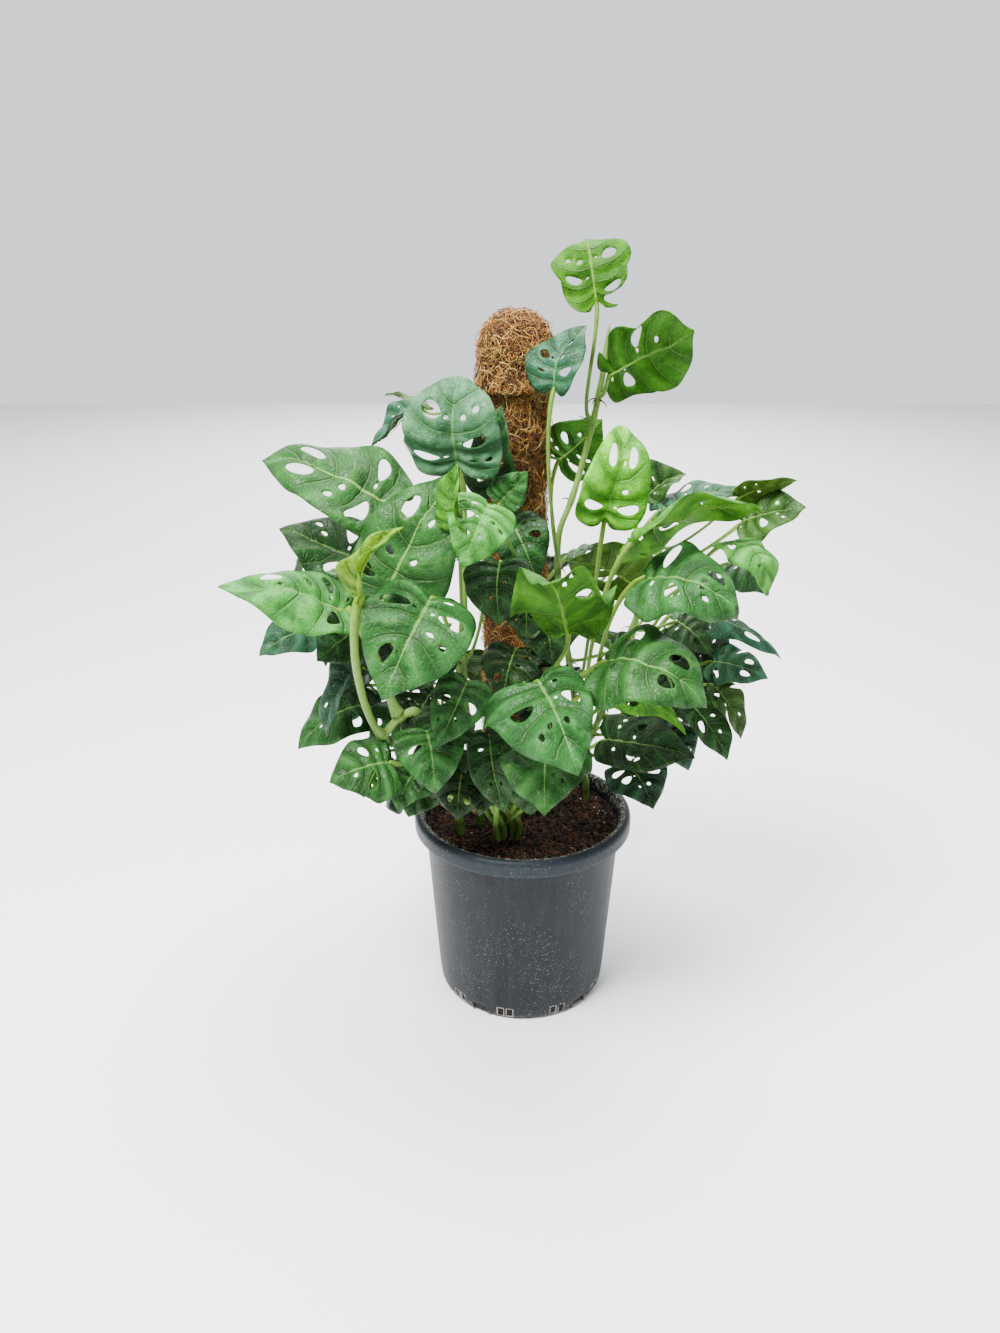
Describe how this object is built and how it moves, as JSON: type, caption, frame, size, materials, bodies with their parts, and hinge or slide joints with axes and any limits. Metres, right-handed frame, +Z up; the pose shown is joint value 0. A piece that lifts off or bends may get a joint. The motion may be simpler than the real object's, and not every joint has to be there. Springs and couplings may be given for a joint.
{
  "type": "potted climbing plant",
  "caption": "Climbing house plant with many heart-shaped, holed leaves on stems around a coir pole, rooted in potting mix in a round tapered nursery container with a rolled rim.",
  "frame": {"origin": "centre of the container's underside, on the surface it stands on", "axes": "+Z up along the pole, -Y towards the fuller front of the plant, +X to its right"},
  "size_m": [0.5506, 0.4303, 0.8055],
  "materials": {
    "container": "moulded recycled plastic, satin, with scuffs and pale specks",
    "potting_mix": "loose dark potting mix with coir fibres, bark chips and white perlite",
    "core_tube": "plain extruded tube, hidden in the wrap",
    "coir": "shaggy coconut fibre, bound round the core",
    "stem": "smooth green stem with pale sheaths and dark roots at the nodes",
    "dry_stem": "dry tan stem, bare",
    "leaf": "leathery satin leaf, darker between the veins, puckered, with pale specks",
    "young_leaf": "thin glossy young leaf, bright yellow-green"
  },
  "bodies": {
    "root": {"pot": "container", "soil": "potting_mix", "pole_core": "core_tube", "coir_sleeve": "coir", "coir_cap": "coir", "stem_front": "stem", "stem_left": "stem", "stem_low_left": "stem", "stem_rear": "stem", "stem_rear_left": "stem", "stem_rear_right": "stem", "stem_right": "stem", "dry_stem": "dry_stem", "leaf_arch_left": "leaf", "leaf_back_centre": "leaf", "leaf_back_left_high": "leaf", "leaf_back_left_low": "leaf", "leaf_back_low": "leaf", "leaf_back_right_high": "leaf", "leaf_back_right_low": "leaf", "leaf_back_upper": "leaf", "leaf_behind_left": "leaf", "leaf_bright": "young_leaf", "leaf_broad_left": "leaf", "leaf_broad_right": "leaf", "leaf_cap_centre": "leaf", "leaf_crown": "young_leaf", "leaf_crown_left": "leaf", "leaf_crown_right": "leaf", "leaf_dark_left": "leaf", "leaf_far_right": "leaf", "leaf_foot_right": "leaf", "leaf_front": "leaf", "leaf_front_low": "leaf", "leaf_heart": "young_leaf", "leaf_hook_right": "leaf", "leaf_inner_right": "leaf", "leaf_knife_lower": "leaf", "leaf_knife_upper": "leaf", "leaf_lace": "leaf", "leaf_large_left": "leaf", "leaf_left_mid": "leaf", "leaf_long_right": "leaf", "leaf_low_dark": "leaf", "leaf_low_left": "leaf", "leaf_low_mid": "leaf", "leaf_low_right": "leaf", "leaf_pole_right": "leaf", "leaf_shade_left": "leaf", "leaf_shelf": "leaf", "leaf_shelf_back": "leaf", "leaf_side_left": "leaf", "leaf_side_right": "leaf", "leaf_slender": "leaf", "leaf_spear_left": "young_leaf", "leaf_tall_left": "leaf", "leaf_under_right": "leaf", "leaf_wing_left": "leaf", "leaf_wing_low": "leaf", "leaf_young": "young_leaf"}
  },
  "joints": []
}
